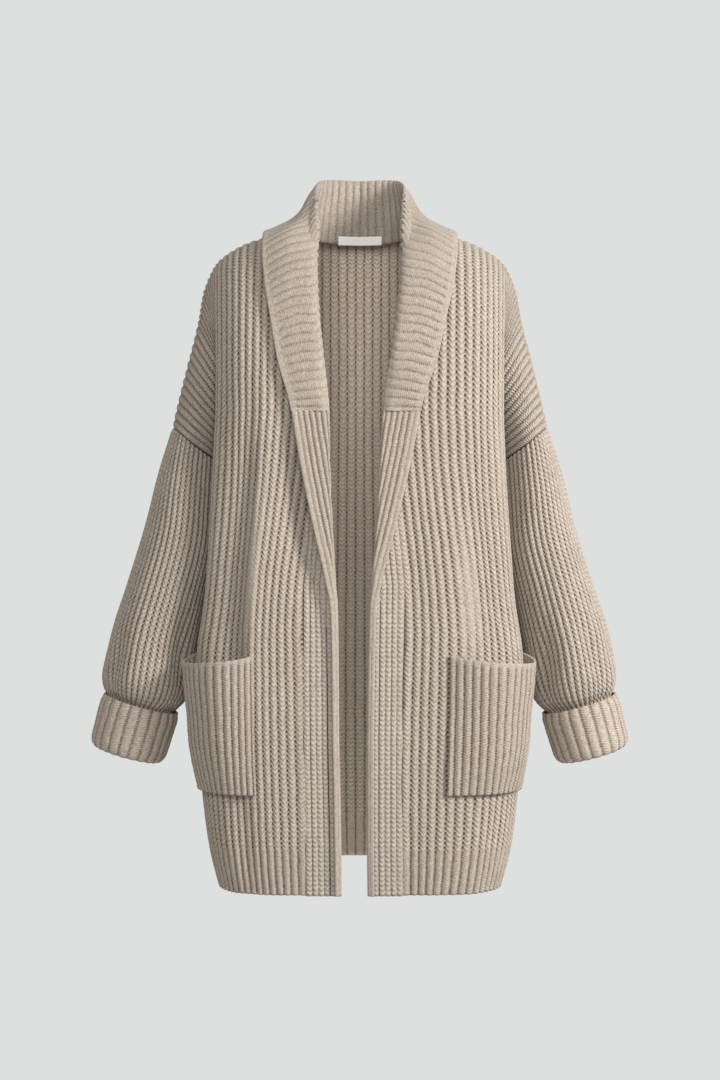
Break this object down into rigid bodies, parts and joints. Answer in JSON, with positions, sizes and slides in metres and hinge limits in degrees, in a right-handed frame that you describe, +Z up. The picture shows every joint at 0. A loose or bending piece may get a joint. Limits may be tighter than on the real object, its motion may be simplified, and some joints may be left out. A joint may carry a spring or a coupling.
{
  "type": "shawl collar cardigan",
  "caption": "Chunky rib knit cardigan, open fronted, with a deep shawl collar, drop shoulders, turned-back cuffs and patch pockets, filled out hollow as worn.",
  "frame": {"origin": "middle of the neck base, level with the highest shoulder points, where the wearer's neck holds it up", "axes": "+Z up along the body towards the head, +Y to the wearer's back (the fronts face -Y), +X to the wearer's left"},
  "size_m": [0.6808, 0.3088, 0.925],
  "materials": {
    "body_knit": "soft chunky wool-blend rib knit, matt with a short pale fuzz",
    "trim_knit": "soft chunky wool-blend rib knit, matt with a short pale fuzz",
    "sleeve_knit": "soft chunky wool-blend rib knit, matt with a short pale fuzz",
    "cuff_knit": "soft chunky wool-blend rib knit, matt with a short pale fuzz",
    "collar_knit": "soft chunky wool-blend rib knit, matt with a short pale fuzz",
    "pocket_knit": "soft chunky wool-blend rib knit, matt with a short pale fuzz",
    "woven_label": "smooth woven satin tape, left bare"
  },
  "bodies": {
    "root": {"back": "body_knit", "front_left": "body_knit", "front_right": "body_knit", "band_left": "trim_knit", "band_right": "trim_knit", "sleeve_left": "sleeve_knit", "sleeve_right": "sleeve_knit", "cuff_left": "cuff_knit", "cuff_right": "cuff_knit", "collar": "collar_knit", "pocket_left": "pocket_knit", "pocket_right": "pocket_knit", "neck_label": "woven_label"}
  },
  "joints": []
}
